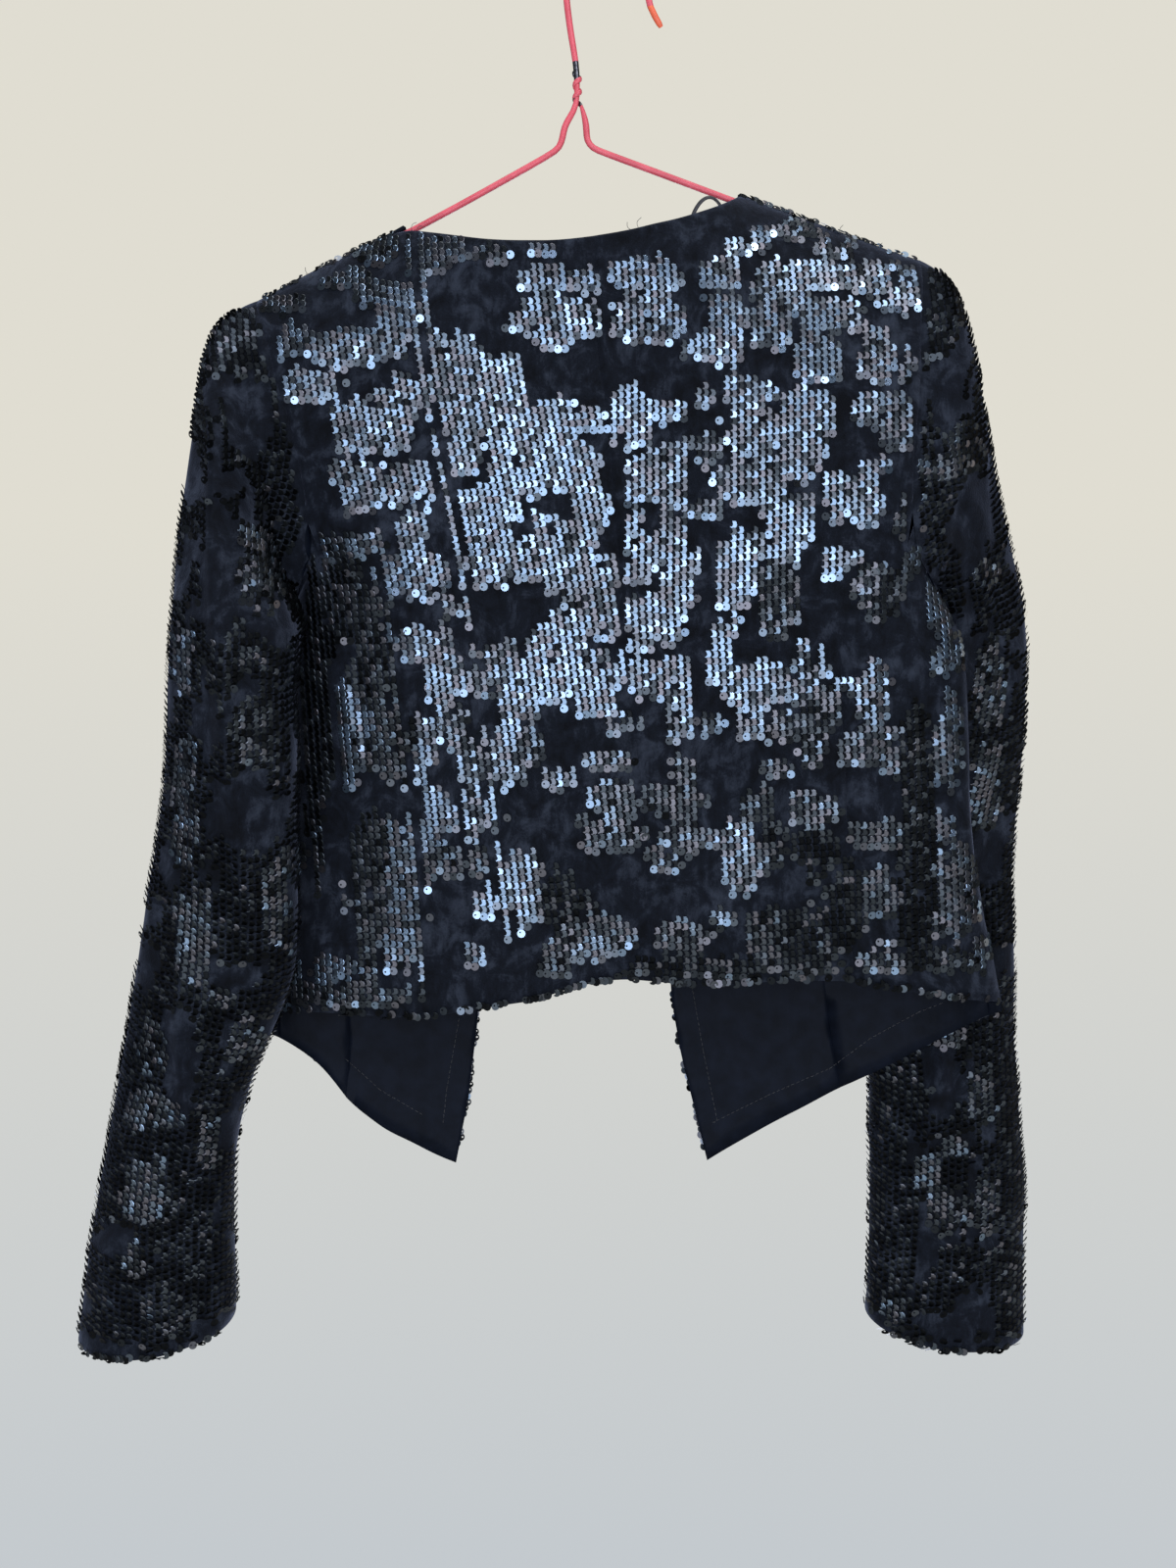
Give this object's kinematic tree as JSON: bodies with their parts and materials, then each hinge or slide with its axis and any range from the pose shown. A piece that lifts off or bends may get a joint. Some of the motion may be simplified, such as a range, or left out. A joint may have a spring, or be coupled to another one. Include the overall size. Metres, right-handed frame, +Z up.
{
  "type": "cropped jacket on wire hanger",
  "caption": "Cropped open-front jacket of velvet and sequins, with long sleeves and pointed front tails, hanging on a coated wire hanger.",
  "frame": {"origin": "inside top of the hanger's hook, where the rod or peg bears", "axes": "+Z up; the jacket's back faces -Y and its open front +Y; +X to the right as the back is seen"},
  "size_m": [0.5343, 0.1221, 0.7857],
  "materials": {
    "sequin_velvet": "black crushed velvet under glossy black sequins",
    "lining": "matte black satin",
    "coated_wire": "satin coral plastic coating",
    "ribbon": "matte black ribbon"
  },
  "bodies": {
    "root": {"back_centre_left": "sequin_velvet", "back_centre_right": "sequin_velvet", "back_side_left": "sequin_velvet", "back_side_right": "sequin_velvet", "front_centre_left": "sequin_velvet", "front_centre_right": "sequin_velvet", "front_side_left": "sequin_velvet", "front_side_right": "sequin_velvet", "lining_centre_left": "lining", "lining_centre_right": "lining", "lining_side_left": "lining", "lining_side_right": "lining", "sleeve_left": "sequin_velvet", "sleeve_right": "sequin_velvet", "hanger": "coated_wire", "hanger_loop": "ribbon"}
  },
  "joints": []
}
